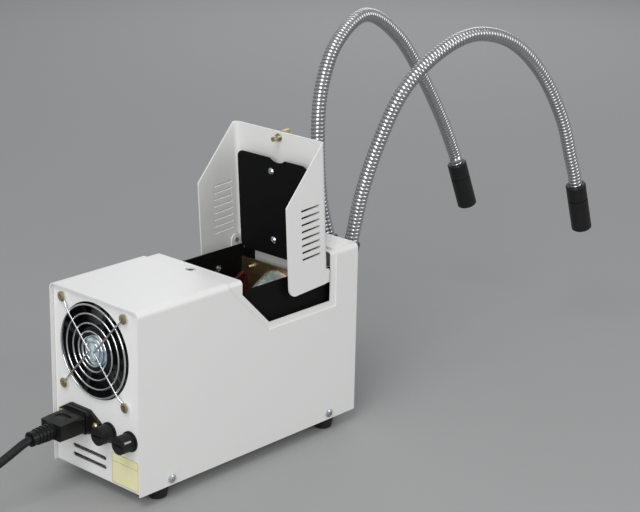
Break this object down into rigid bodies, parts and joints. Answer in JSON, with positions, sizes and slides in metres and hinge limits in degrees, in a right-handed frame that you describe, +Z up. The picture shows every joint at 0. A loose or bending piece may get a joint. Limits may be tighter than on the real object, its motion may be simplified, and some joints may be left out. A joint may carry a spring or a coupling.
{
  "type": "fiber optic illuminator",
  "caption": "Sheet metal cold light source with a slotted lamp door standing open, rear fan, light port and a pair of self-holding gooseneck light guides.",
  "frame": {"origin": "on the bench plane under the middle of the cabinet's footprint", "axes": "+Z up, the front panel with the light port faces -Y, the fan and power inlet face +Y"},
  "size_m": [0.2229, 0.7609, 0.3274],
  "materials": {
    "white_paint": "fine textured off-white paint",
    "black_paint": "matt black heat-proof paint",
    "grey_paint": "light grey paint",
    "bare_steel": "plated steel",
    "chrome_wire": "bright chrome",
    "zinc_brass": "yellow passivated zinc",
    "bronze_sheet": "heat tinted steel",
    "black_rubber": "soft matt rubber",
    "black_plastic": "moulded satin plastic",
    "cord_pvc": "smooth flexible PVC",
    "reflector": "dichroic coated, bluish",
    "quartz": "clear quartz",
    "ceramic": "unglazed ceramic",
    "label_paper": "blank pale yellow label",
    "core_steel": "varnished laminations",
    "copper_coil": "amber winding tape",
    "board": "green solder mask",
    "fibre": "bundled glass fibre",
    "alloy": "turned aluminium"
  },
  "bodies": {
    "chassis": {"cover": "white_paint", "base_pan": "white_paint", "rear_panel": "white_paint", "front_panel": "white_paint", "feet": "black_rubber", "foot_screws": "bare_steel", "cover_screws": "bare_steel", "hinge_brackets": "white_paint", "door_nut": "bare_steel", "lamp_compartment": "black_paint", "front_bulkhead": "grey_paint", "compartment_screws": "bare_steel", "lamp_bracket": "bronze_sheet", "lamp_bracket_screw": "bare_steel", "lamp_reflector": "reflector", "lamp_capsule": "quartz", "lamp_socket": "ceramic", "fan_frame": "black_plastic", "fan_guard": "chrome_wire", "fan_screws": "zinc_brass", "power_inlet": "black_plastic", "inlet_screws": "zinc_brass", "fuse_holders": "black_plastic", "rear_label": "label_paper", "transformer_core": "core_steel", "transformer_coil": "copper_coil", "control_board": "board", "potentiometer": "bare_steel", "switch_housing": "black_plastic", "light_port": "alloy", "cord_connector": "cord_pvc", "cord_run": "cord_pvc", "cord_coil": "cord_pvc", "cord_tie": "black_plastic", "mains_plug": "cord_pvc"},
    "lamp_door": {"lamp_door": "white_paint", "door_hinge_pins": "bare_steel", "door_heat_shield": "black_paint", "shield_spacers": "bare_steel", "shield_screws": "bare_steel"},
    "thumb_screw": {"door_thumb_screw": "zinc_brass"},
    "fan_rotor": {"fan_rotor": "black_plastic"},
    "fuse_cap_left": {"fuse_cap_left": "black_plastic"},
    "fuse_cap_right": {"fuse_cap_right": "black_plastic"},
    "intensity_knob": {"intensity_knob": "black_plastic", "knob_shaft": "bare_steel"},
    "power_rocker": {"power_rocker": "black_plastic"},
    "port_lock_screw": {"port_lock_screw": "bare_steel"},
    "light_guide": {"guide_connector": "black_plastic", "gooseneck_left": "chrome_wire", "gooseneck_right": "chrome_wire", "fibre_bundle_left": "fibre", "fibre_bundle_right": "fibre", "tip_left": "black_plastic", "tip_right": "black_plastic"}
  },
  "joints": [
    {"name": "door_hinge", "type": "hinge", "parent": "chassis", "child": "lamp_door", "pos_m": [0, -0.0769, 0.151], "axis": [1, 0, 0], "range_deg": [-86.4, 0]},
    {"name": "thumb_screw_turn", "type": "hinge", "parent": "lamp_door", "child": "thumb_screw", "pos_m": [0, -0.08025, 0.249], "axis": [0, -0.998, 0.0628], "continuous": true},
    {"name": "fan_spin", "type": "hinge", "parent": "chassis", "child": "fan_rotor", "pos_m": [0.0023, 0.1, 0.1155], "axis": [0, 1, 0], "continuous": true},
    {"name": "fuse_left_turn", "type": "hinge", "parent": "chassis", "child": "fuse_cap_left", "pos_m": [-0.0374, 0.125, 0.053], "axis": [0, 1, 0], "range_deg": [0, 90]},
    {"name": "fuse_right_turn", "type": "hinge", "parent": "chassis", "child": "fuse_cap_right", "pos_m": [-0.0134, 0.125, 0.053], "axis": [0, 1, 0], "range_deg": [0, 90]},
    {"name": "intensity_turn", "type": "hinge", "parent": "chassis", "child": "intensity_knob", "pos_m": [0.022, -0.125, 0.047], "axis": [0, 1, 0], "range_deg": [0, 270]},
    {"name": "power_rock", "type": "hinge", "parent": "chassis", "child": "power_rocker", "pos_m": [-0.024, -0.1175, 0.047], "axis": [1, 0, 0], "range_deg": [0, 16]},
    {"name": "port_lock_turn", "type": "hinge", "parent": "chassis", "child": "port_lock_screw", "pos_m": [0, -0.1265, 0.13], "axis": [0, 0, 1], "range_deg": [0, 360]},
    {"name": "guide_slide", "type": "slide", "parent": "chassis", "child": "light_guide", "axis": [0, -1, 0], "range_m": [0, 0.03]}
  ]
}
